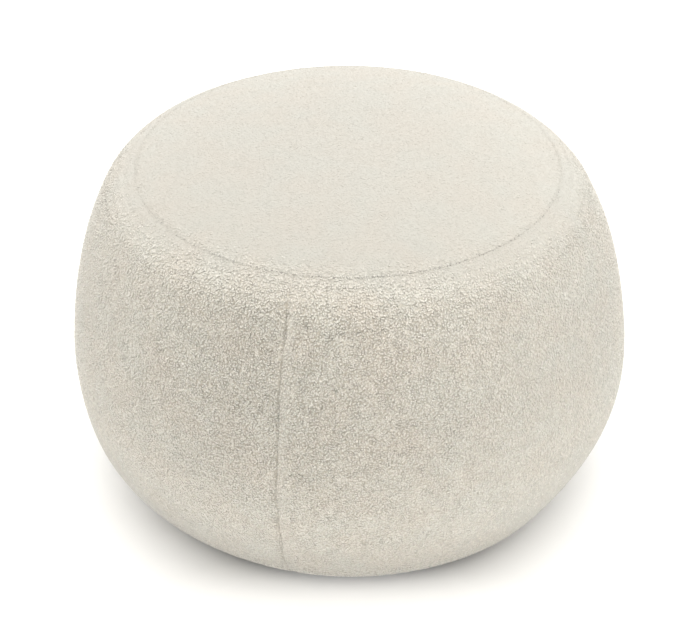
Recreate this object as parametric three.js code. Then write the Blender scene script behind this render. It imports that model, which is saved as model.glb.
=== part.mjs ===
// Round ottoman in short curly pile cloth. A round top panel is sewn to a barrel-shaped side band along
// a ring seam. The band is one strip, closed by one upright seam, and a round panel closes the underside.
// Millimetres, +Z up. The origin is on the floor under the middle, and -Y is the front.

import * as THREE from "three";

// Top panel and ring seam
const TOP_SEAM_RADIUS = 218.5;
const TOP_SEAM_HEIGHT = 370;
const CROWN = 28;
const CROWN_POWER = 2.5;
const TOP_CLOTH = 5;
const EDGE_ROLL = 2.5;

// Base panel
const BASE_RADIUS = 214;
const BASE_CLOTH = 4;

// Clearances between the sewn pieces, and between the band and the floor
const GAP = 0.3;
const BAND_LIFT = 0.6;

// Side band from the floor up, where the filling swells it
const WALL_ROWS = [
  { height: BAND_LIFT, radius: 221 },
  { height: 12, radius: 239.5 },
  { height: 36, radius: 262 },
  { height: 76, radius: 283.5 },
  { height: 120, radius: 296 },
  { height: 165, radius: 300 },
  { height: 210, radius: 295.5 },
  { height: 255, radius: 286.5 },
  { height: 297, radius: 274 },
  { height: 330, radius: 258.5 },
  { height: 353, radius: 241.5 },
  { height: 366, radius: 229 },
  { height: TOP_SEAM_HEIGHT, radius: TOP_SEAM_RADIUS + GAP / 2 + EDGE_ROLL },
];
const WIDEST_RADIUS = 300;

// Upright seam: the cloth is drawn in along it and swells a little on both sides, less near the floor
const SEAM = { azimuth: -13.4, depth: 2.6, halfWidth: 3.2, swell: 0.8, swellAt: 20, swellHalfWidth: 11 };
const SEAM_FADE = 8;

// Slow dents and swellings of the filled band: azimuth from the front in degrees, positive to the right
const UNEVENNESS = [
  { azimuth: 80, height: 120, wide: 22, tall: 50, out: 2.5 },
  { azimuth: 62, height: 45, wide: 14, tall: 35, out: -2 },
  { azimuth: 36, height: 20, wide: 16, tall: 35, out: 3 },
  { azimuth: -22, height: 15, wide: 18, tall: 30, out: -2.5 },
  { azimuth: -62, height: 70, wide: 22, tall: 50, out: 3 },
  { azimuth: -90, height: 165, wide: 20, tall: 60, out: -1.5 },
  { azimuth: -125, height: 345, wide: 28, tall: 60, out: 5 },
  { azimuth: 125, height: 345, wide: 34, tall: 60, out: -5 },
  { azimuth: -30, height: 322, wide: 10, tall: 30, out: -2.5 },
  { azimuth: -14, height: 315, wide: 10, tall: 30, out: -2.5 },
  { azimuth: 2, height: 295, wide: 10, tall: 30, out: -2 },
];

// Steps of the surfaces: columns are close beside the upright seam and even elsewhere
const SEAM_COLUMNS = [0, 0.3, 0.6, 0.9, 1.3, 2, 3.2, 5, 8.5];
const PLAIN_COLUMNS = 57;
const WALL_STEPS = 2 * (WALL_ROWS.length - 1);
const CROWN_STEPS = 9;
const UNDER_STEPS = 6;
const ROLL_STEPS = 4;

const CREAM_PILE = 0xe4dfd3;
const BASE_GREY = 0xb9b4a8;

const radians = THREE.MathUtils.degToRad;
const bell = (distance, halfWidth) => Math.exp(-((distance / halfWidth) ** 2));

// Degrees from one azimuth to another, the short way round
function turnBetween(from, to) {
  return THREE.MathUtils.euclideanModulo(to - from + 180, 360) - 180;
}

// Azimuths of the columns, in degrees, once round from the upright seam
function columnAzimuths() {
  const right = SEAM_COLUMNS;
  const left = SEAM_COLUMNS.slice(1).map((offset) => 360 - offset);
  const last = right.at(-1);
  const step = (360 - 2 * last) / (PLAIN_COLUMNS + 1);
  const plain = Array.from({ length: PLAIN_COLUMNS }, (_, i) => last + (i + 1) * step);
  return [...right, ...plain, ...left.reverse()].map((offset) => SEAM.azimuth + offset);
}
const COLUMNS = columnAzimuths();

// How far the filling pushes the cloth outwards at an azimuth and height
function unevenness(azimuth, height) {
  let out = 0;
  for (const spot of UNEVENNESS) {
    const across = bell(turnBetween(spot.azimuth, azimuth), spot.wide);
    out += spot.out * across * bell(height - spot.height, spot.tall);
  }
  return out;
}

// How far the cloth stands proud beside the upright seam, negative where it is drawn in
function seamRelief(azimuth, radius) {
  const away = Math.abs(radians(turnBetween(SEAM.azimuth, azimuth))) * radius;
  return SEAM.swell * bell(away - SEAM.swellAt, SEAM.swellHalfWidth) - SEAM.depth * bell(away, SEAM.halfWidth);
}

function crownHeight(radius) {
  return TOP_SEAM_HEIGHT + CROWN * (1 - (radius / TOP_SEAM_RADIUS) ** CROWN_POWER);
}

// Evenly spaced radii, from the axis to the ring seam
function radiiTo(outer, steps) {
  return Array.from({ length: steps + 1 }, (_, i) => (outer * i) / steps);
}

// Rows of a quarter-round edge that turns down into the ring seam, from its lowest row to its crest.
// side is 1 for the band, outside the seam, and -1 for the top panel, inside it.
function rolledEdge(side, crestHeight) {
  const crestRadius = TOP_SEAM_RADIUS + side * (GAP / 2 + EDGE_ROLL);
  return Array.from({ length: ROLL_STEPS }, (_, i) => {
    const turn = (i / ROLL_STEPS) * (Math.PI / 2);
    return {
      radius: crestRadius - side * EDGE_ROLL * Math.cos(turn),
      height: crestHeight - EDGE_ROLL * (1 - Math.sin(turn)),
      drawn: i / ROLL_STEPS,
    };
  });
}

// Direction in which the cloth faces at a row of a profile that runs up the outside
function facing(profile, row) {
  const before = profile[Math.max(row - 1, 0)];
  const after = profile[Math.min(row + 1, profile.length - 1)];
  return new THREE.Vector2(after.height - before.height, before.radius - after.radius).normalize();
}

// A piece turned about the axis. A row's drawn value is its share of the upright seam's relief.
function turnedPiece(name, profile, color) {
  const points = profile.map((row) => new THREE.Vector2(row.radius, row.height));
  const geometry = new THREE.LatheGeometry(points, COLUMNS.length);
  const position = geometry.getAttribute("position");
  for (let column = 0; column <= COLUMNS.length; column++) {
    const azimuth = COLUMNS[column % COLUMNS.length];
    const around = radians(azimuth);
    profile.forEach((row, i) => {
      const relief = (row.drawn ?? 0) * seamRelief(azimuth, row.radius);
      const slow = unevenness(azimuth, row.height) * (row.radius / WIDEST_RADIUS) ** 2;
      const face = facing(profile, i);
      const radius = row.radius + relief * face.x + slow;
      const height = row.height + relief * face.y;
      position.setXYZ(column * profile.length + i, radius * Math.sin(around), height, radius * Math.cos(around));
    });
  }
  geometry.rotateX(Math.PI / 2);
  geometry.computeVertexNormals();
  const mesh = new THREE.Mesh(geometry, new THREE.MeshStandardMaterial({ color, roughness: 1, metalness: 0 }));
  mesh.name = name;
  return mesh;
}

// Side band with the filling it holds: flat over the base panel, swollen outside, crowned under the top
function sideBand() {
  const recessRadius = BASE_RADIUS + GAP;
  const recessHeight = BASE_CLOTH + GAP;
  const underside = [
    { radius: 0, height: recessHeight },
    { radius: recessRadius, height: recessHeight },
    { radius: recessRadius, height: 2 * BAND_LIFT },
    { radius: recessRadius + BAND_LIFT, height: BAND_LIFT },
  ];
  const swell = new THREE.SplineCurve(WALL_ROWS.map((row) => new THREE.Vector2(row.radius, row.height)));
  const wall = swell.getPoints(WALL_STEPS).map((p) => ({
    radius: p.x,
    height: p.y,
    drawn: Math.min(1, (p.y - BAND_LIFT) / SEAM_FADE),
  }));
  const lip = rolledEdge(1, TOP_SEAM_HEIGHT).reverse();
  const bed = radiiTo(TOP_SEAM_RADIUS + GAP / 2, UNDER_STEPS)
    .map((radius) => ({ radius, height: crownHeight(radius) - TOP_CLOTH - GAP }))
    .reverse();
  return turnedPiece("side_band", [...underside, ...wall, ...lip, ...bed], CREAM_PILE);
}

// Top panel: a crowned round of pile cloth whose edge rolls down into the ring seam
function topPanel() {
  const edgeRadius = TOP_SEAM_RADIUS - GAP / 2;
  const crestRadius = edgeRadius - EDGE_ROLL;
  const under = radiiTo(edgeRadius, UNDER_STEPS).map((radius) => ({
    radius,
    height: crownHeight(radius) - TOP_CLOTH,
  }));
  const roll = rolledEdge(-1, crownHeight(crestRadius));
  const upper = radiiTo(crestRadius, CROWN_STEPS)
    .map((radius) => ({ radius, height: crownHeight(radius) }))
    .reverse();
  return turnedPiece("top_panel", [...under, ...roll, ...upper], CREAM_PILE);
}

// Base panel: a flat round of plain cloth that the ottoman stands on
function basePanel() {
  const profile = [
    { radius: 0, height: 0 },
    { radius: BASE_RADIUS, height: 0 },
    { radius: BASE_RADIUS, height: BASE_CLOTH },
    { radius: 0, height: BASE_CLOTH },
  ];
  return turnedPiece("base_panel", profile, BASE_GREY);
}

const ottoman = new THREE.Group();
ottoman.add(sideBand(), topPanel(), basePanel());

export default ottoman;
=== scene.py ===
"""Looks of the round ottoman: short curly pile cloth over its packed band and top, a plain cloth under it.

Sizes are in millimetres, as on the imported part, and become metres where a mesh is made. Azimuths are in
degrees from the front, positive to the right. Half widths are those of a bell curve.
"""

import math

import bpy
import numpy as np
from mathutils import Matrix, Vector


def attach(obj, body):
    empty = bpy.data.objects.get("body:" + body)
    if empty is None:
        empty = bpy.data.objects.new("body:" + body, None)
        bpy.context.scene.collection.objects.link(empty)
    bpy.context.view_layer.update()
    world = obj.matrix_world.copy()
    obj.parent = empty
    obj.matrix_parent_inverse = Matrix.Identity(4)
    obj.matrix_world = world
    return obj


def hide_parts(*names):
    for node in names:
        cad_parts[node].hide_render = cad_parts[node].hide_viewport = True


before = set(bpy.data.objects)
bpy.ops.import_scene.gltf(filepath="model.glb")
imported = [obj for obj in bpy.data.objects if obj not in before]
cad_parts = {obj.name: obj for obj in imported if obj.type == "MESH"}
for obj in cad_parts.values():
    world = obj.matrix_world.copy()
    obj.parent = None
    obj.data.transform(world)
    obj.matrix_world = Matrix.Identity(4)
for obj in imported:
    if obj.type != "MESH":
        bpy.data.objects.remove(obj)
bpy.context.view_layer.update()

# A millimetre in metres, and the seed of the random draws
MM = 0.001
SEED = 7

# Top panel and ring seam
TOP_SEAM_RADIUS = 218.5
TOP_SEAM_HEIGHT = 370
CROWN = 28
CROWN_POWER = 2.5
TOP_CLOTH = 5

# Base panel
BASE_RADIUS = 214
BASE_CLOTH = 4

# Clearances between the sewn pieces, and between the band and the floor
GAP = 0.3
BAND_LIFT = 0.6

# Side band from the floor up: height, radius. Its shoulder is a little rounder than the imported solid's.
WALL_ROWS = [
    (BAND_LIFT, 221),
    (12, 239.5),
    (36, 262),
    (76, 283.5),
    (120, 296),
    (165, 300),
    (210, 295.5),
    (255, 286.5),
    (297, 274),
    (335, 257),
    (349.5, 246.5),
    (359.1, 236.4),
    (365.4, 227.4),
    (TOP_SEAM_HEIGHT, TOP_SEAM_RADIUS),
]
WIDEST_RADIUS = 300

# Slow dents and swellings: azimuth, height, half width in degrees, half height, how far outwards
UNEVENNESS = [
    (80, 120, 22, 50, 2.5),
    (62, 45, 14, 35, -2),
    (36, 20, 16, 35, 3),
    (-22, 15, 18, 30, -2.5),
    (-62, 70, 22, 50, 3),
    (-90, 165, 20, 60, -1.5),
    (-125, 345, 28, 60, 5),
    (125, 345, 34, 60, -5),
    (-30, 322, 10, 30, -2.5),
    (-14, 315, 10, 30, -2.5),
    (2, 295, 10, 30, -2),
]

# Upright seam: the cloth is drawn in and swells on both sides, less near the floor and the ring seam
SEAM_AZIMUTH = -13.4
SEAM_DEPTH = 1.9
SEAM_HALF_WIDTH = 1.8
SEAM_SWELL = 0.8
SEAM_SWELL_AT = 20
SEAM_SWELL_HALF_WIDTH = 11
SEAM_FLOOR_FADE = 90
SEAM_RIM_SHARE = 0.2
SEAM_RIM_FADE = 45

# The upright seam wavers in a long and a short wave: how far, height for each radian, the long one's start
WAVER = 0.5
WAVER_LONG = 17
WAVER_SHORT = 7.3
WAVER_START = 1

# Painted shade in the slit along the upright seam: half width, how dark at most, and how much smaller its
# curls are
SLIT_HALF_WIDTH = 1.0
SLIT_DARK = 0.55
SLIT_SHRINK = 0.45

# The slit's painted shade is darker at some stitches: the length of a stitch, and the power of its random
# share
STITCH = 5
STITCH_POWER = 0.6

# The slit's painted shade is fainter near the ring seam and the floor: the share left there, and where it
# grows
SLIT_LEAST = 0.25
SLIT_RIM_FADE = (30, 110)
SLIT_FLOOR_FADE = (10, 110)

# Smoother, paler pile right of the upright seam: where its middle is, half width, how smooth, how pale
STRIP_AT = 6
STRIP_HALF_WIDTH = 4.5
STRIP_SMOOTH = 0.3
STRIP_PALE = 0.03

# The pile closes over the ring seam: how much higher its curls stand there, and the half width of that
SEAM_COVER = 0.2
SEAM_COVER_HALF_WIDTH = 2.5

# Small curls that close the ring seam: pitch, size, the share that are dark in front as painted shade in the
# seam, how dark, where
RING_PITCH = 1.2
RING_SIZE = 0.85
RING_DARK_SHARE = 0.55
RING_DARK = 0.38
RING_DARK_AZIMUTH = 12
RING_DARK_HALF_WIDTH = 55

# Pile: distance between curls, fewest in a row, where it starts on the band, pieces round the side
PITCH = 2.39
FEWEST_IN_ROW = 3
PILE_START = 1.5
SIDE_PILE_PIECES = 4

# Sizes of a curl, lowest and highest. The skew is a share of half its length.
CURL_LENGTH = (3.6, 5.8)
CURL_WIDTH = (2.0, 3.2)
CURL_BEND = (-0.9, 0.9)
CURL_SKEW = (-0.25, 0.25)

# How far the crest leans against the bend, as a share of it, and a curl's lowest height over the floor
CREST_LEAN = -0.5
CURL_LOWEST = 0.1

# A curl is a closed bent lump of triangles: its start, left side, end, right side and crest.
CURL_POINTS = 5
# Lift is 0 at a curl's foot and 1 at its crest. The colour darkens towards the foot as painted shade.
CURL_LIFT = [0, 0, 0, 0, 1]
CURL_UPPER = [(0, 3, 4), (3, 2, 4), (2, 1, 4), (1, 0, 4)]
CURL_LOWER = [(0, 1, 2), (0, 2, 3)]

# Places of a curl's points on the bake map, where the lower side is a thin strip beside the upper side
UPPER_PLACES = [(0, 0.6), (0.5, 1), (1, 0.6), (0.5, 0.2), (0.5, 0.6)]
LOWER_PLACES = [(0, 0.08), (0.5, 0.15), (1, 0.08), (0.5, 0), (0.5, 0.08)]
BAKE_MARGIN = 0.1

# Ruffle goes from 0, smooth, to 1: the pile's depth, and its curls' ends and crests, lowest and highest
SMOOTH = {"depth": 0.2, "ends": (-0.25, 0.08), "crest": (0.2, 0.48)}
RUFFLED = {"depth": 1.8, "ends": (-0.9, 0.5), "crest": (1.1, 2.6)}

# Curls are shaded flat up to one ruffle, and all of them round from another. Flat ones are dimmed with
# painted shade, to look as dim as round ones.
ROUND_RUFFLE = (0.06, 0.45)
FLAT_TONE = 0.84

# How ruffled the top's pile is, and how much more at the ring seam in front
TOP_RUFFLE = 0.05
TOP_EDGE_RUFFLE = 0.2
TOP_EDGE_HALF_WIDTH = 16

# How ruffled the side's pile is, and how much more in front and behind
SIDE_RUFFLE = 0.27
FRONT_RUFFLE = 0.68
FRONT_AZIMUTH = -12
FRONT_HALF_WIDTH = 48
BACK_RUFFLE = 0.5
BACK_HALF_WIDTH = 62

# Smoother pile under the ring seam: the ruffle added in front, how far it goes, and how far in front
RIM_RUFFLE = 0.27
RIM_FADE = 60
RIM_FADE_FRONT = 50

# Smoother pile near the floor: the share of ruffle left, how much more in front, the heights of its fade
FLOOR_RUFFLE = 0.08
FLOOR_FRONT_RUFFLE = 0.42
FLOOR_FRONT_AZIMUTH = 5
FLOOR_FRONT_HALF_WIDTH = 32
FLOOR_FADE = (40, 250)

# Painted light and shade on the top's pile: dimmer than the side's, but paler at the ring seam, on the right
# and behind
TOP_TONE = 0.958
TOP_EDGE_PALE = 0.05
TOP_RIGHT_PALE = 0.035
TOP_BACK_PALE = 0.03

# Painted light and shade on the side's pile: like the top's at the ring seam, paler under it, right and low,
# and with painted shade below, by the floor
TOP_TONE_FADE = 40
RIM_PALE = 0.07
RIM_PALE_AT = 16
RIM_PALE_HALF_WIDTH = 24
RIGHT_PALE = 0.04
RIGHT_PALE_FADE = 60
LOW_PALE = 0.16
LOW_PALE_AT = 115
LOW_PALE_HALF_WIDTH = 75
UNDER_DARK = 0.55
UNDER_FADE = (3, 14)

# Painted light and shade in slow paler and dimmer places on the side: azimuth, height, half width in
# degrees, half height, amount
TONE_SPOTS = [
    (-22, 300, 17, 62, -0.055),
    (-26, 170, 26, 60, -0.045),
    (28, 250, 24, 110, 0.02),
    (75, 280, 24, 90, -0.03),
    (32, 75, 26, 40, 0.055),
]

# Mesh of the cloth: points on the sections, columns round, how close those come at the upright seam
WALL_STEPS = 16
CROWN_POINTS = 90
BAND_COLUMNS = 240
PANEL_COLUMNS = 160
COLUMN_CLOSENESS = 0.9

# Rows of the cloth: even ones, how far they stay from the ends, and close ones by distance to the seam
BAND_ROWS = 44
BAND_ROWS_END = 8
BAND_EDGE_ROWS = [6, 4, 2.5, 1.5, 0.7, 0]
TOP_ROWS = 28
TOP_ROWS_START = 14
TOP_ROWS_END = 12
TOP_EDGE_ROWS = [0, 0.7, 1.5, 2.5, 4, 6, 9]

# Hidden faces: the band's underside about the base panel's edge, its bed, and the top panel's underside
UNDER_INSIDE = 2
UNDER_OUTSIDE = 3
BED_INSET = 4
BED_INNER = 40
BED_DROP = 1
BED_ROWS = 6
LID_INSET = 2
LID_INNER = 12
LID_ROWS = 10

# Rows of the base panel: its rounded edge, and its flat faces inside that
BASE_EDGE_ROWS = 7
BASE_INSET = 6
BASE_INNER = 20
BASE_ROWS = 6

# Colours of the pile: crests, roots darkened as painted shade, smooth pile, how much curls differ, and the
# grain's span on the cloth for its painted shade
PILE_LIGHT = (0.98, 0.955, 0.905)
PILE_ROOT_SHADE = (0.51, 0.465, 0.395)
PILE_SMOOTH = (0.565, 0.544, 0.500)
PILE_VARIETY = 0.03
GROUND_SPAN = (0.35, 0.85)

# Slow drift of the pile's hue: two tints, lumps for each metre, and the noise's span between the tints
HUE_WARM = (1.0, 0.988, 0.975)
HUE_COOL = (0.988, 1.0, 0.997)
HUE_SCALE = 24
HUE_SPAN = (0.35, 0.65)

# Grain of the pile between and on the curls: lumps for each metre, depth
GRAIN_SCALE = 430
GRAIN_DEPTH = 1.3

# Surface of the pile
PILE_ROUGHNESS = 0.95
PILE_SPECULAR = 0.2
PILE_SHEEN = 0.25
PILE_SHEEN_ROUGHNESS = 0.6

# Plain woven cloth of the base: colours, the wave of its threads, its bump and its surface
WEAVE_LIGHT = (0.46, 0.44, 0.40)
WEAVE_DARK = (0.36, 0.34, 0.30)
WEAVE_SCALE = 160
WEAVE_DISTORTION = 0.6
WEAVE_DETAIL = 1
WEAVE_BUMP = 0.6
WEAVE_DEPTH = 0.4
WEAVE_ROUGHNESS = 0.9
WEAVE_SPECULAR = 0.2

# Floor, and a glow that lightens the shade in front of the ottoman: how much, its middle, how far it goes
FLOOR_COLOUR = (0.92, 0.92, 0.92)
FLOOR_ROUGHNESS = 0.9
FLOOR_HALF = 15000
FLOOR_GLOW = 0.25
GLOW_MIDDLE = (0, -255)
GLOW_REACH = (210, 65)

# Studio light from each side, and a pale backdrop low on the left with the spans in which it fades
LIGHT_OVERHEAD = (2.93, 2.88, 2.77)
LIGHT_RIGHT = (0.66, 0.66, 0.66)
LIGHT_LEFT = (0.37, 0.37, 0.37)
LIGHT_BACK = (1.16, 1.20, 1.24)
LIGHT_FRONT = (0.15, 0.15, 0.14)
BACKDROP = (1.0, 1.0, 1.0)
BACKDROP_TOP = (0.13, 0.18)
BACKDROP_SIDE = (-0.9, -0.6)

# Camera, fitted to the photograph's outline and ring seam
CAMERA_ELEVATION = 34.5
CAMERA_DISTANCE = 1828
CAMERA_TARGET_HEIGHT = 182.8
CAMERA_AIM_RIGHT = 1.4
CAMERA_AIM_DOWN = 9.0
CAMERA_LENS = 85.8


def bell(distance, half_width):
    return np.exp(-((distance / half_width) ** 2))


def smooth_step(value):
    value = np.clip(value, 0, 1)
    return value * value * (3 - 2 * value)


def fade_in(value, span):
    """From 0 at the start of a span to 1 at its end."""
    start, end = span
    return smooth_step((value - start) / (end - start))


def turn_between(start, end):
    """Degrees from one azimuth to another, the short way round."""
    return (end - start + 180) % 360 - 180


def soft_spots(spots, azimuth, height):
    """Sum of soft spots, each with an azimuth, a height, a half width, a half height and an amount."""
    total = 0
    for spot_azimuth, spot_height, wide, tall, amount in spots:
        across = bell(turn_between(spot_azimuth, azimuth), wide)
        total = total + amount * across * bell(height - spot_height, tall)
    return total


def crown_height(radius):
    return TOP_SEAM_HEIGHT + CROWN * (1 - (np.asarray(radius) / TOP_SEAM_RADIUS) ** CROWN_POWER)


def seam_offset(azimuth, radius, height):
    """How far right of the upright seam a place is. The seam wavers a little on its way up."""
    waver = WAVER * (np.sin(height / WAVER_LONG + WAVER_START) + np.sin(height / WAVER_SHORT))
    return np.radians(turn_between(SEAM_AZIMUTH, azimuth)) * radius - waver


def seam_relief(azimuth, radius, height):
    """How far the cloth stands proud beside the upright seam, negative where it is drawn in."""
    away = np.abs(seam_offset(azimuth, radius, height))
    swell = SEAM_SWELL * bell(away - SEAM_SWELL_AT, SEAM_SWELL_HALF_WIDTH)
    return swell - SEAM_DEPTH * bell(away, SEAM_HALF_WIDTH)


def frontness(azimuth):
    """Share of the pile's extra ruffle in front."""
    return bell(turn_between(FRONT_AZIMUTH, azimuth), FRONT_HALF_WIDTH)


def side_ruffle(azimuth, height, to_seam):
    """How ruffled the side's pile is, from its height over the floor and its distance to the ring seam."""
    front = frontness(azimuth)
    back = bell(turn_between(FRONT_AZIMUTH + 180, azimuth), BACK_HALF_WIDTH)
    fade = RIM_FADE + (RIM_FADE_FRONT - RIM_FADE) * front
    edge = TOP_RUFFLE + RIM_RUFFLE * front
    rim = edge + (1 - edge) * smooth_step(to_seam / fade)
    low_front = bell(turn_between(FLOOR_FRONT_AZIMUTH, azimuth), FLOOR_FRONT_HALF_WIDTH)
    least = FLOOR_RUFFLE + FLOOR_FRONT_RUFFLE * low_front
    low = least + (1 - least) * fade_in(height, FLOOR_FADE)
    return (SIDE_RUFFLE + FRONT_RUFFLE * front + BACK_RUFFLE * back) * rim * low


def top_tone(azimuth, radius):
    """Painted light and shade on the top's pile: dimmer overall, a little paler towards the ring seam, on
    the right and behind.
    """
    share = radius / TOP_SEAM_RADIUS
    around = np.radians(azimuth)
    right = TOP_RIGHT_PALE * share * np.sin(around)
    back = -TOP_BACK_PALE * share**2 * np.cos(around)
    return TOP_TONE * (1 + TOP_EDGE_PALE * share**2 + right + back)


def side_tone(azimuth, height, to_seam):
    """Painted light and shade on the side's pile, from its height over the floor and its distance to the
    ring seam.
    """
    seam = (1 - top_tone(azimuth, TOP_SEAM_RADIUS)) * (1 - smooth_step(to_seam / TOP_TONE_FADE))
    rim = RIM_PALE * smooth_step(to_seam / RIM_PALE_AT) * bell(to_seam - RIM_PALE_AT, RIM_PALE_HALF_WIDTH)
    right = RIGHT_PALE * np.sin(np.radians(azimuth)) * smooth_step(to_seam / RIGHT_PALE_FADE)
    low = LOW_PALE * bell(height - LOW_PALE_AT, LOW_PALE_HALF_WIDTH)
    # Painted shade by the floor, where the pile curves under.
    under = UNDER_DARK * (1 - fade_in(height, UNDER_FADE))
    spots = soft_spots(TONE_SPOTS, azimuth, height)
    return (1 - seam + rim + right + low + spots) * (1 - under)


def pile_depth(ruffle):
    return SMOOTH["depth"] + ruffle * (RUFFLED["depth"] - SMOOTH["depth"])


def pile_limits(ruffle, key):
    """Lowest and highest of a measure of the curls, between its smooth and its ruffled values."""
    return SMOOTH[key] + ruffle[..., None] * np.subtract(RUFFLED[key], SMOOTH[key])


def round_share(ruffle):
    """Share of the curls that are shaded as round lumps. The others are flat facets."""
    return fade_in(ruffle, ROUND_RUFFLE)


def spline_points(rows, steps):
    """Points (radius, height) of a smooth curve through rows of (height, radius), steps for each span."""
    rows = np.array([(radius, height) for height, radius in rows], float)
    padded = np.vstack([rows[0], rows, rows[-1]])
    t = np.arange(steps)[:, None] / steps
    spans = []
    for before, start, end, after in zip(padded, padded[1:], padded[2:], padded[3:]):
        leave, arrive = (end - before) / 2, (after - start) / 2
        cubic = 2 * start - 2 * end + leave + arrive
        square = -3 * start + 3 * end - 2 * leave - arrive
        spans.append(((cubic * t + square) * t + leave) * t + start)
    return np.vstack([*spans, rows[-1:]])


class Profile:
    """The outer section of a piece, which runs up or towards the axis, and the way the cloth faces along it.

    drawn is the share of the upright seam's relief along the section. seam_end is 0 where the section
    starts at the ring seam and 1 where it ends there. Each kind of section adds its pile's ruffle and tone.
    """

    def __init__(self, points, drawn, seam_end):
        self.radius, self.height = points.T
        self.drawn = drawn
        steps = np.hypot(np.diff(self.radius), np.diff(self.height))
        self.along = np.append(0, np.cumsum(steps))
        self.length = self.along[-1]
        self.seam_at = seam_end * self.length
        rise = np.gradient(self.height, self.along)
        run = np.gradient(self.radius, self.along)
        self.facing = np.column_stack([rise, -run]) / np.hypot(rise, run)[:, None]
        self.cover = bell(self.along - self.seam_at, SEAM_COVER_HALF_WIDTH)

    def at(self, along, values):
        return np.interp(along, self.along, values)

    def to_seam(self, along):
        return np.abs(along - self.seam_at)

    def place(self, along, azimuth, depth=0.0):
        """Points on the piece, depth under the outer face of its pile."""
        radius, height = self.at(along, self.radius), self.at(along, self.height)
        out, up = self.at(along, self.facing[:, 0]), self.at(along, self.facing[:, 1])
        relief = self.at(along, self.drawn) * seam_relief(azimuth, radius, height) - depth
        slow = soft_spots(UNEVENNESS, azimuth, height) * (radius / WIDEST_RADIUS) ** 2
        radius = radius + relief * out + slow
        around = np.radians(azimuth)
        return np.stack([radius * np.sin(around), -radius * np.cos(around), height + relief * up], -1)

    def frames(self, along, azimuth):
        """Unit vectors on the piece: along the ring, up the section, and out of the cloth."""
        step = 1.0
        turn = np.degrees(step / np.maximum(self.at(along, self.radius), step))
        ring = self.place(along, azimuth + turn) - self.place(along, azimuth - turn)
        low, high = np.maximum(along - step, 0), np.minimum(along + step, self.length)
        up = self.place(high, azimuth) - self.place(low, azimuth)
        ring /= np.linalg.norm(ring, axis=1)[:, None]
        out = np.cross(ring, up)
        out /= np.linalg.norm(out, axis=1)[:, None]
        return ring, np.cross(out, ring), out

    def ground_tone(self, along, azimuth):
        """Tone of the cloth between the curls, dimmed with painted shade by the share of flat curls, as
        those are.
        """
        rounded = round_share(self.ruffle(along, azimuth))
        return self.tone(along, azimuth) * (FLAT_TONE + (1 - FLAT_TONE) * rounded)

    def cloth_rings(self, rows, azimuth):
        """Rings of points on the cloth under the pile, with their ruffles and tones."""
        ruffle = np.stack([self.ruffle(row, azimuth) for row in rows])
        tone = np.stack([self.ground_tone(row, azimuth) for row in rows])
        points = np.stack([self.place(row, azimuth, pile_depth(r)) for row, r in zip(rows, ruffle)])
        return points, ruffle, tone


class BandProfile(Profile):
    """The side band, from the floor up to the ring seam."""

    def __init__(self):
        points = spline_points(WALL_ROWS, WALL_STEPS)
        steps = np.hypot(*np.diff(points, axis=0).T)
        to_seam = np.append(np.cumsum(steps[::-1])[::-1], 0)
        floor = np.clip((points[:, 1] - BAND_LIFT) / SEAM_FLOOR_FADE, 0, 1)
        rim = SEAM_RIM_SHARE + (1 - SEAM_RIM_SHARE) * smooth_step(to_seam / SEAM_RIM_FADE)
        super().__init__(points, floor * rim, seam_end=1)

    def offset(self, along, azimuth):
        return seam_offset(azimuth, self.at(along, self.radius), self.at(along, self.height))

    def ruffle(self, along, azimuth):
        strip = 1 - STRIP_SMOOTH * bell(self.offset(along, azimuth) - STRIP_AT, STRIP_HALF_WIDTH)
        return strip * side_ruffle(azimuth, self.at(along, self.height), self.to_seam(along))

    def tone(self, along, azimuth):
        return side_tone(azimuth, self.at(along, self.height), self.to_seam(along))


class TopProfile(Profile):
    """The crowned top panel, from the ring seam to its middle."""

    def __init__(self):
        radii = np.linspace(TOP_SEAM_RADIUS, 0, CROWN_POINTS)
        points = np.column_stack([radii, crown_height(radii)])
        super().__init__(points, np.zeros(CROWN_POINTS), seam_end=0)

    def ruffle(self, along, azimuth):
        edge = TOP_EDGE_RUFFLE * frontness(azimuth) * bell(self.to_seam(along), TOP_EDGE_HALF_WIDTH)
        return TOP_RUFFLE + edge

    def tone(self, along, azimuth):
        return top_tone(azimuth, self.at(along, self.radius))


def new_object(name, points, faces, material, rounded=True):
    """A mesh piece from points in millimetres and faces of one kind, all or some of them shaded round."""
    mesh = bpy.data.meshes.new(name)
    corners = faces.shape[1]
    mesh.vertices.add(len(points))
    mesh.vertices.foreach_set("co", (points * MM).astype(np.float32).ravel())
    mesh.loops.add(faces.size)
    mesh.loops.foreach_set("vertex_index", faces.astype(np.int32).ravel())
    mesh.polygons.add(len(faces))
    mesh.polygons.foreach_set("loop_start", np.arange(0, faces.size, corners, dtype=np.int32))
    mesh.update(calc_edges=True)
    mesh.polygons.foreach_set("use_smooth", np.broadcast_to(rounded, len(faces)))
    mesh.materials.append(material)
    piece = bpy.data.objects.new(name, mesh)
    bpy.context.scene.collection.objects.link(piece)
    return piece


def point_values(piece, name, values):
    layer = piece.data.attributes.new(name, "FLOAT", "POINT")
    layer.data.foreach_set("value", values.astype(np.float32))


def ring_values(piece, name, low, rings, high):
    """Values on a turned piece: at its low pole, on its rings, and at its high pole."""
    point_values(piece, name, np.concatenate([[low], rings.ravel(), [high]]))


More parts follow.
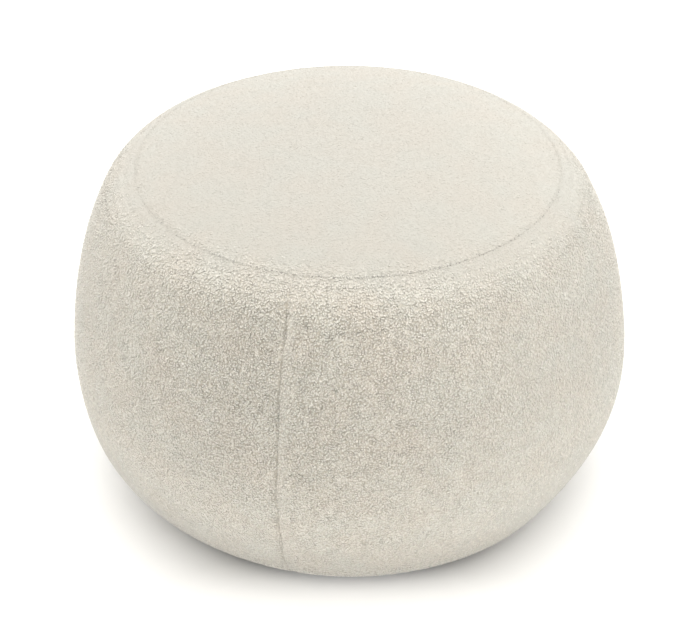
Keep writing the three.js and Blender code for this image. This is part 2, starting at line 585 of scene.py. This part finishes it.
def turned_faces(rows, columns):
    """Triangles between rings of points, closed by a pole before the first ring and one after the last."""
    ring = np.arange(columns)
    beside = (ring + 1) % columns
    first = 1 + columns * np.arange(rows - 1)[:, None]
    low, low_next = (first + ring).ravel(), (first + beside).ravel()
    quads = np.column_stack([low, low_next, low_next + columns, low + columns])
    last = 1 + columns * (rows - 1)
    start = np.column_stack([np.zeros(columns, int), 1 + beside, 1 + ring])
    end = np.column_stack([np.full(columns, last + columns), last + ring, last + beside])
    return np.vstack([start, quads[:, [0, 1, 2]], quads[:, [0, 2, 3]], end])


def turned_body(name, pole_low, rings, pole_high, material):
    """A closed piece from rings of points, an array of rows by columns by 3."""
    rows, columns = rings.shape[:2]
    points = np.vstack([[pole_low], rings.reshape(-1, 3), [pole_high]])
    return new_object(name, points, turned_faces(rows, columns), material)


def flat_ring(radius, height, azimuth):
    around = np.radians(azimuth)
    return np.stack([radius * np.sin(around), -radius * np.cos(around), np.full_like(azimuth, height)], -1)


def ring_azimuths(columns):
    """Azimuths once round, closer together beside the upright seam."""
    share = np.arange(columns) / columns * 2 * np.pi
    return SEAM_AZIMUTH + np.degrees(share - COLUMN_CLOSENESS * np.sin(share))


def band_cloth(profile, material):
    """The band's cloth: its outside, and hidden faces over the base panel and under the top panel."""
    azimuth = ring_azimuths(BAND_COLUMNS)
    even = np.linspace(0, profile.length - BAND_ROWS_END, BAND_ROWS)
    rows = np.append(even, profile.length - np.array(BAND_EDGE_ROWS))
    wall, wall_ruffle, wall_tone = profile.cloth_rings(rows, azimuth)

    under_height = BASE_CLOTH + GAP
    under_radii = [BASE_RADIUS - UNDER_INSIDE, BASE_RADIUS + UNDER_OUTSIDE]
    under = [flat_ring(radius, under_height, azimuth) for radius in under_radii]
    bed_radii = np.linspace(TOP_SEAM_RADIUS - BED_INSET, BED_INNER, BED_ROWS)
    bed_depth = TOP_CLOTH + GAP + BED_DROP
    bed = [flat_ring(radius, crown_height(radius) - bed_depth, azimuth) for radius in bed_radii]

    rings = np.concatenate([under, wall, bed])
    high = (0, 0, crown_height(0) - bed_depth)
    side = turned_body("side_band_cloth", (0, 0, under_height), rings, high, material)
    ruffle, tone = np.zeros(rings.shape[:2]), np.ones(rings.shape[:2])
    outside = slice(len(under), len(under) + len(wall))
    ruffle[outside], tone[outside] = wall_ruffle, wall_tone
    ring_values(side, "ruffle", 0, ruffle, 0)
    ring_values(side, "tone", 1, tone, 1)
    return side


def top_cloth(profile, material):
    """The top panel's cloth: its hidden underside, then its crown from the ring seam to the middle."""
    azimuth = ring_azimuths(PANEL_COLUMNS)
    even = np.linspace(TOP_ROWS_START, profile.length - TOP_ROWS_END, TOP_ROWS)
    upper, ruffle, tone = profile.cloth_rings(np.append(TOP_EDGE_ROWS, even), azimuth)
    middle_tone = profile.ground_tone(profile.length, 0)

    radii = np.linspace(LID_INNER, TOP_SEAM_RADIUS - LID_INSET, LID_ROWS)
    under = [flat_ring(radius, crown_height(radius) - TOP_CLOTH, azimuth) for radius in radii]
    low = (0, 0, crown_height(0) - TOP_CLOTH)
    high = (0, 0, crown_height(0) - pile_depth(TOP_RUFFLE))
    lid = turned_body("top_panel_cloth", low, np.concatenate([under, upper]), high, material)
    hidden = np.zeros((len(under), len(azimuth)))
    ring_values(lid, "ruffle", 0, np.vstack([hidden, ruffle]), TOP_RUFFLE)
    ring_values(lid, "tone", TOP_TONE, np.vstack([hidden + TOP_TONE, tone]), middle_tone)
    return lid


def base_cloth(material):
    """The base panel: a flat round with a rounded edge."""
    azimuth = ring_azimuths(PANEL_COLUMNS)
    turn = np.linspace(-np.pi / 2, np.pi / 2, BASE_EDGE_ROWS)
    half = BASE_CLOTH / 2
    edge = [flat_ring(BASE_RADIUS - half + half * np.cos(a), half + half * np.sin(a), azimuth) for a in turn]
    inner = np.linspace(BASE_INNER, BASE_RADIUS - half - BASE_INSET, BASE_ROWS)
    under = [flat_ring(radius, 0.0, azimuth) for radius in inner]
    upper = [flat_ring(radius, BASE_CLOTH, azimuth) for radius in inner[::-1]]
    rings = np.stack([*under, *edge, *upper])
    return turned_body("base_panel_cloth", (0, 0, 0), rings, (0, 0, BASE_CLOTH), material)


def scatter(profile, start, rng):
    """Roots of the curls, from a start along the section to its end, in jittered rows one pitch apart."""
    end = profile.length
    alongs, azimuths = [], []
    for row in np.arange(start + PITCH / 2, end, PITCH):
        count = max(FEWEST_IN_ROW, round(2 * np.pi * profile.at(row, profile.radius) / PITCH))
        cell = 360 / count
        alongs.append(row + (rng.random(count) - 0.5) * PITCH)
        azimuths.append((np.arange(count) + rng.random(count) + rng.random()) * cell)
    along = np.clip(np.concatenate(alongs), start, end)
    return along, np.concatenate(azimuths)


def slit_tone(profile, along, azimuth, rng):
    """Tone beside the upright seam: painted shade in its slit, darker at some stitches, and paler pile right
    of it.
    """
    offset = profile.offset(along, azimuth)
    stitches = np.arange(0, profile.length + STITCH, STITCH)
    tightness = np.interp(along, stitches, rng.uniform(0, 1, len(stitches)) ** STITCH_POWER)
    height = profile.at(along, profile.height)
    clear = fade_in(profile.to_seam(along), SLIT_RIM_FADE) * fade_in(height, SLIT_FLOOR_FADE)
    tightness *= SLIT_LEAST + (1 - SLIT_LEAST) * clear
    slit = SLIT_DARK * tightness * bell(offset, SLIT_HALF_WIDTH)
    return 1 - slit + STRIP_PALE * bell(offset - STRIP_AT, STRIP_HALF_WIDTH)


def side_curls(profile, rng):
    """The side's curls: their places along the section, azimuths, sizes and tones."""
    along, azimuth = scatter(profile, PILE_START, rng)
    size = 1 - SLIT_SHRINK * bell(profile.offset(along, azimuth), SLIT_HALF_WIDTH)
    tone = profile.tone(along, azimuth) * slit_tone(profile, along, azimuth, rng)
    return np.stack([along, azimuth, size, tone])


def ring_curls(profile, rng):
    """Small curls that close the ring seam, given as the side's are. In front some are dark, as painted
    shade in the seam.
    """
    count = round(2 * np.pi * TOP_SEAM_RADIUS / RING_PITCH)
    azimuth = (np.arange(count) + rng.random(count)) * 360 / count
    along = profile.length - rng.uniform(0, RING_PITCH, count)
    front = bell(turn_between(RING_DARK_AZIMUTH, azimuth), RING_DARK_HALF_WIDTH)
    # Dark curls in front are painted shade in the ring seam's groove.
    dark = rng.random(count) < RING_DARK_SHARE * front
    tone = top_tone(azimuth, TOP_SEAM_RADIUS) * (1 - RING_DARK * dark)
    return np.stack([along, azimuth, np.full(count, RING_SIZE), tone])


def top_curls(profile, rng):
    """The top's curls, given as the side's are."""
    along, azimuth = scatter(profile, 0, rng)
    return np.stack([along, azimuth, np.ones(len(along)), profile.tone(along, azimuth)])


def curl_points(profile, along, azimuth, size, ruffle, rng):
    """Points of every curl, curls by points by 3."""
    count = len(along)
    half = 0.5 * size * rng.uniform(*CURL_LENGTH, count)
    wide = 0.5 * size * rng.uniform(*CURL_WIDTH, count)
    bend = size * rng.uniform(*CURL_BEND, count)
    cover = SEAM_COVER * profile.at(along, profile.cover)
    crest = size * rng.uniform(*pile_limits(ruffle, "crest").T) + cover
    ends = rng.uniform(*pile_limits(ruffle, "ends").T, (CURL_POINTS - 1, count)).T
    skew = rng.uniform(*CURL_SKEW, (count, 3)) * half[:, None]
    heading = rng.uniform(0, 2 * np.pi, count)

    forward = np.column_stack([-half, skew[:, 0], half, skew[:, 1], skew[:, 2]])
    sideways = np.column_stack([bend, wide, bend, -wide, CREST_LEAN * bend])
    height = np.column_stack([ends, crest])
    cos, sin = np.cos(heading)[:, None], np.sin(heading)[:, None]
    local_x = (forward * cos - sideways * sin)[..., None]
    local_y = (forward * sin + sideways * cos)[..., None]
    ring, up, out = (v[:, None] for v in profile.frames(along, azimuth))
    root = profile.place(along, azimuth, pile_depth(ruffle))[:, None]
    points = root + ring * local_x + up * local_y + out * height[..., None]
    points[..., 2] = np.maximum(points[..., 2], CURL_LOWEST)
    return points


def bake_map(piece, count):
    """Lay the curls out flat in the cells of a square, one curl in each."""
    upper = np.array(UPPER_PLACES)[CURL_UPPER]
    lower = np.array(LOWER_PLACES)[CURL_LOWER]
    flat = np.concatenate([upper, lower])
    cells = math.ceil(math.sqrt(count))
    cell = np.column_stack([np.arange(count) % cells, np.arange(count) // cells])
    places = (cell[:, None, None] + BAKE_MARGIN + (1 - 2 * BAKE_MARGIN) * flat) / cells
    layer = piece.data.uv_layers.new(name="OFBake", do_init=False)
    layer.data.foreach_set("uv", places.astype(np.float32).ravel())


def pile(name, profile, curls, material, rng):
    """One joined mesh of curls. Some of them are shaded as flat facets where the pile is smooth."""
    along, azimuth, size, tone = curls
    ruffle = profile.ruffle(along, azimuth)
    points = curl_points(profile, along, azimuth, size, ruffle, rng)
    count = len(points)
    rounded = rng.random(count) < round_share(ruffle)
    # Flat curls are dimmed with painted shade, to look as dim as round ones.
    tone = tone * np.where(rounded, 1, FLAT_TONE)
    triangles = np.array(CURL_UPPER + CURL_LOWER)
    first = CURL_POINTS * np.arange(count)[:, None, None]
    faces = (first + triangles).reshape(-1, 3)
    piece = new_object(name, points.reshape(-1, 3), faces, material, np.repeat(rounded, len(triangles)))
    point_values(piece, "curl", np.repeat(rng.random(count), CURL_POINTS))
    point_values(piece, "ruffle", np.repeat(ruffle, CURL_POINTS))
    point_values(piece, "tone", np.repeat(tone, CURL_POINTS))
    point_values(piece, "lift", np.tile(CURL_LIFT, count))
    bake_map(piece, count)
    return piece


def new_material(name):
    material = bpy.data.materials.new(name)
    material.use_nodes = True
    nodes, links = material.node_tree.nodes, material.node_tree.links
    return material, nodes, links, nodes["Principled BSDF"]


def matt(shader, roughness, specular):
    shader.inputs["Roughness"].default_value = roughness
    shader.inputs["Specular IOR Level"].default_value = specular


def attribute(nodes, name, output="Fac"):
    node = nodes.new("ShaderNodeAttribute")
    node.attribute_name = name
    return node.outputs[output]


def object_place(nodes):
    """The object's own coordinates, in metres."""
    return nodes.new("ShaderNodeTexCoord").outputs["Object"]


def noise(nodes, links, scale):
    """Noise on the object's own coordinates, scale in lumps for each metre."""
    texture = nodes.new("ShaderNodeTexNoise")
    texture.inputs["Scale"].default_value = scale
    links.new(object_place(nodes), texture.inputs["Vector"])
    return texture.outputs[0]


def ramp(nodes, links, value, low, high, span=(0.0, 1.0)):
    """A colour that goes from low to high as a value crosses a span."""
    node = nodes.new("ShaderNodeValToRGB")
    first, last = node.color_ramp.elements
    first.position, last.position = span
    first.color, last.color = (*low, 1), (*high, 1)
    links.new(value, node.inputs["Fac"])
    return node.outputs["Color"]


def map_range(nodes, links, value, span, at_start, at_end):
    """A value that goes softly from one amount to another as a value crosses a span."""
    node = nodes.new("ShaderNodeMapRange")
    node.interpolation_type = "SMOOTHSTEP"
    node.inputs["From Min"].default_value, node.inputs["From Max"].default_value = span
    node.inputs["To Min"].default_value = at_start
    node.inputs["To Max"].default_value = at_end
    links.new(value, node.inputs["Value"])
    return node.outputs["Result"]


def multiplied(nodes, links, first, second):
    product = nodes.new("ShaderNodeMath")
    product.operation = "MULTIPLY"
    links.new(first, product.inputs[0])
    links.new(second, product.inputs[1])
    return product.outputs[0]


def colour_mix(nodes, blend_type):
    mix = nodes.new("ShaderNodeMix")
    mix.data_type = "RGBA"
    mix.blend_type = blend_type
    mix.inputs["Factor"].default_value = 1.0
    return mix


def tinted(nodes, links, colour, tint):
    """One colour times another."""
    mix = colour_mix(nodes, "MULTIPLY")
    links.new(colour, mix.inputs["A"])
    links.new(tint, mix.inputs["B"])
    return mix.outputs["Result"]


def bump_from(nodes, links, height, depth):
    """A bump node, depth in millimetres. Its strength is left to be set."""
    bump = nodes.new("ShaderNodeBump")
    bump.inputs["Distance"].default_value = depth * MM
    links.new(height, bump.inputs["Height"])
    return bump


def pile_colour(nodes, links, depth):
    """Cream where the pile is smooth, and where it is ruffled from painted shade at its roots to its crests.
    """
    mix = colour_mix(nodes, "MIX")
    mix.inputs["A"].default_value = (*PILE_SMOOTH, 1)
    links.new(ramp(nodes, links, depth, PILE_ROOT_SHADE, PILE_LIGHT), mix.inputs["B"])
    links.new(attribute(nodes, "ruffle"), mix.inputs["Factor"])
    # The tone attribute holds the pile's painted light and shade.
    toned = tinted(nodes, links, mix.outputs["Result"], attribute(nodes, "tone", "Color"))
    hue = ramp(nodes, links, noise(nodes, links, HUE_SCALE), HUE_WARM, HUE_COOL, HUE_SPAN)
    return tinted(nodes, links, toned, hue)


def soft_cloth(nodes, links, shader, grain):
    """Matt surface with a soft sheen, and grain that is deeper where the pile is ruffled."""
    bump = bump_from(nodes, links, grain, GRAIN_DEPTH)
    links.new(attribute(nodes, "ruffle"), bump.inputs["Strength"])
    links.new(bump.outputs["Normal"], shader.inputs["Normal"])
    matt(shader, PILE_ROUGHNESS, PILE_SPECULAR)
    shader.inputs["Sheen Weight"].default_value = PILE_SHEEN
    shader.inputs["Sheen Roughness"].default_value = PILE_SHEEN_ROUGHNESS


def pile_material():
    """Cream curls that differ a little from each other."""
    material, nodes, links, shader = new_material("curly_pile")
    dim = 1 - PILE_VARIETY
    tint = ramp(nodes, links, attribute(nodes, "curl"), (dim, dim, dim), (1, 1, 1))
    colour = pile_colour(nodes, links, attribute(nodes, "lift"))
    links.new(tinted(nodes, links, colour, tint), shader.inputs["Base Color"])
    soft_cloth(nodes, links, shader, noise(nodes, links, GRAIN_SCALE))
    return material


def ground_material():
    """The roots of the pile, which show between the curls, darker in the pits of their grain as painted
    shade.
    """
    material, nodes, links, shader = new_material("pile_ground")
    grain = noise(nodes, links, GRAIN_SCALE)
    # Painted shade: the grain's pits take the roots' dark colour, and its lumps the crests' colour.
    depth = map_range(nodes, links, grain, GROUND_SPAN, 0.0, 1.0)
    links.new(pile_colour(nodes, links, depth), shader.inputs["Base Color"])
    soft_cloth(nodes, links, shader, grain)
    return material


def base_material():
    """Plain woven cloth: crossed threads about two millimetres apart."""
    material, nodes, links, shader = new_material("plain_weave")
    threads = []
    for direction in ("X", "Y"):
        wave = nodes.new("ShaderNodeTexWave")
        wave.bands_direction = direction
        wave.inputs["Scale"].default_value = WEAVE_SCALE
        wave.inputs["Distortion"].default_value = WEAVE_DISTORTION
        wave.inputs["Detail"].default_value = WEAVE_DETAIL
        links.new(object_place(nodes), wave.inputs["Vector"])
        threads.append(wave.outputs["Fac"])
    weave = multiplied(nodes, links, *threads)
    links.new(ramp(nodes, links, weave, WEAVE_DARK, WEAVE_LIGHT), shader.inputs["Base Color"])
    bump = bump_from(nodes, links, weave, WEAVE_DEPTH)
    bump.inputs["Strength"].default_value = WEAVE_BUMP
    links.new(bump.outputs["Normal"], shader.inputs["Normal"])
    matt(shader, WEAVE_ROUGHNESS, WEAVE_SPECULAR)
    return material


def make_ottoman():
    """Make the pieces, and say where each belongs."""
    rng = np.random.default_rng(SEED)
    band, top = BandProfile(), TopProfile()
    ground, curly = ground_material(), pile_material()

    side = band_cloth(band, ground)
    curls = np.hstack([side_curls(band, rng), ring_curls(band, rng)])
    sector = (curls[1] % 360) // (360 / SIDE_PILE_PIECES)
    side_pile = []
    for k in range(SIDE_PILE_PIECES):
        side_pile.append(pile(f"side_pile_{k + 1}", band, curls[:, sector == k], curly, rng))

    lid = top_cloth(top, ground)
    top_pile = pile("top_pile", top, top_curls(top, rng), curly, rng)

    base = base_cloth(base_material())
    for piece in (side, lid, base, top_pile, *side_pile):
        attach(piece, "root")
    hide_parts("side_band")
    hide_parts("top_panel")
    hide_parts("base_panel")


def make_camera():
    elevation = math.radians(CAMERA_ELEVATION)
    back = Vector((0, -math.cos(elevation), math.sin(elevation)))
    up = Vector((0, math.sin(elevation), math.cos(elevation)))
    target = Vector((0, 0, CAMERA_TARGET_HEIGHT * MM))
    aim = target + Vector((CAMERA_AIM_RIGHT * MM, 0, 0)) - up * CAMERA_AIM_DOWN * MM
    lens = bpy.data.cameras.new("camera")
    lens.lens = CAMERA_LENS
    camera = bpy.data.objects.new("camera", lens)
    camera.location = target + back * CAMERA_DISTANCE * MM
    camera.rotation_mode = "QUATERNION"
    camera.rotation_quaternion = (aim - camera.location).to_track_quat("-Z", "Y")
    bpy.context.scene.collection.objects.link(camera)
    bpy.context.scene.camera = camera


def vector_math(nodes, links, operation, vector, second):
    """A vector node on a linked vector and a second one, linked or plain."""
    node = nodes.new("ShaderNodeVectorMath")
    node.operation = operation
    links.new(vector, node.inputs[0])
    if isinstance(second, bpy.types.NodeSocket):
        links.new(second, node.inputs[1])
    else:
        node.inputs[1].default_value = second
    return node.outputs["Vector"]


def glow_distance(nodes, links):
    """Distance from the middle of the floor's glow, which is 1 where the glow ends."""
    middle = (GLOW_MIDDLE[0] * MM, GLOW_MIDDLE[1] * MM, 0)
    reach = (GLOW_REACH[0] * MM, GLOW_REACH[1] * MM, 1)
    shifted = vector_math(nodes, links, "SUBTRACT", object_place(nodes), middle)
    share = vector_math(nodes, links, "DIVIDE", shifted, reach)
    away = nodes.new("ShaderNodeVectorMath")
    away.operation = "LENGTH"
    links.new(share, away.inputs[0])
    return away.outputs["Value"]


def make_floor():
    material, nodes, links, shader = new_material("pale_floor")
    shader.inputs["Base Color"].default_value = (*FLOOR_COLOUR, 1)
    matt(shader, FLOOR_ROUGHNESS, specular=0.0)
    shader.inputs["Emission Color"].default_value = (1, 1, 1, 1)
    glow = map_range(nodes, links, glow_distance(nodes, links), (0.0, 1.0), FLOOR_GLOW, 0.0)
    links.new(glow, shader.inputs["Emission Strength"])
    corners = FLOOR_HALF * np.array([(-1, -1, 0), (1, -1, 0), (1, 1, 0), (-1, 1, 0)], float)
    floor = new_object("floor", corners, np.array([[0, 1, 2, 3]]), material)


def squared_part(nodes, links, value, side):
    """The square of a direction's part on one side of zero: MAXIMUM for above it, MINIMUM for below."""
    part = nodes.new("ShaderNodeMath")
    part.operation = side
    links.new(value, part.inputs[0])
    part.inputs[1].default_value = 0.0
    return multiplied(nodes, links, part.outputs[0], part.outputs[0])


def scaled_colour(nodes, links, colour, weight):
    node = nodes.new("ShaderNodeVectorMath")
    node.operation = "SCALE"
    node.inputs[0].default_value = colour
    links.new(weight, node.inputs["Scale"])
    return node.outputs["Vector"]


def make_light():
    """Light that goes with the square of the direction's part towards each side, and a backdrop."""
    world = bpy.data.worlds.new("studio")
    world.use_nodes = True
    bpy.context.scene.world = world
    nodes, links = world.node_tree.nodes, world.node_tree.links
    split = nodes.new("ShaderNodeSeparateXYZ")
    links.new(nodes.new("ShaderNodeTexCoord").outputs["Generated"], split.inputs[0])
    across, depth, height = split.outputs
    low = map_range(nodes, links, height, BACKDROP_TOP, 1.0, 0.0)
    left = map_range(nodes, links, across, BACKDROP_SIDE, 1.0, 0.0)
    parts = [
        (LIGHT_OVERHEAD, squared_part(nodes, links, height, "MAXIMUM")),
        (LIGHT_RIGHT, squared_part(nodes, links, across, "MAXIMUM")),
        (LIGHT_LEFT, squared_part(nodes, links, across, "MINIMUM")),
        (LIGHT_BACK, squared_part(nodes, links, depth, "MAXIMUM")),
        (LIGHT_FRONT, squared_part(nodes, links, depth, "MINIMUM")),
        (BACKDROP, multiplied(nodes, links, low, left)),
    ]
    total, *others = [scaled_colour(nodes, links, colour, weight) for colour, weight in parts]
    for other in others:
        total = vector_math(nodes, links, "ADD", total, other)
    links.new(total, nodes["Background"].inputs["Color"])
    bpy.context.scene.view_settings.view_transform = "Standard"


make_camera()
make_floor()
make_light()
make_ottoman()
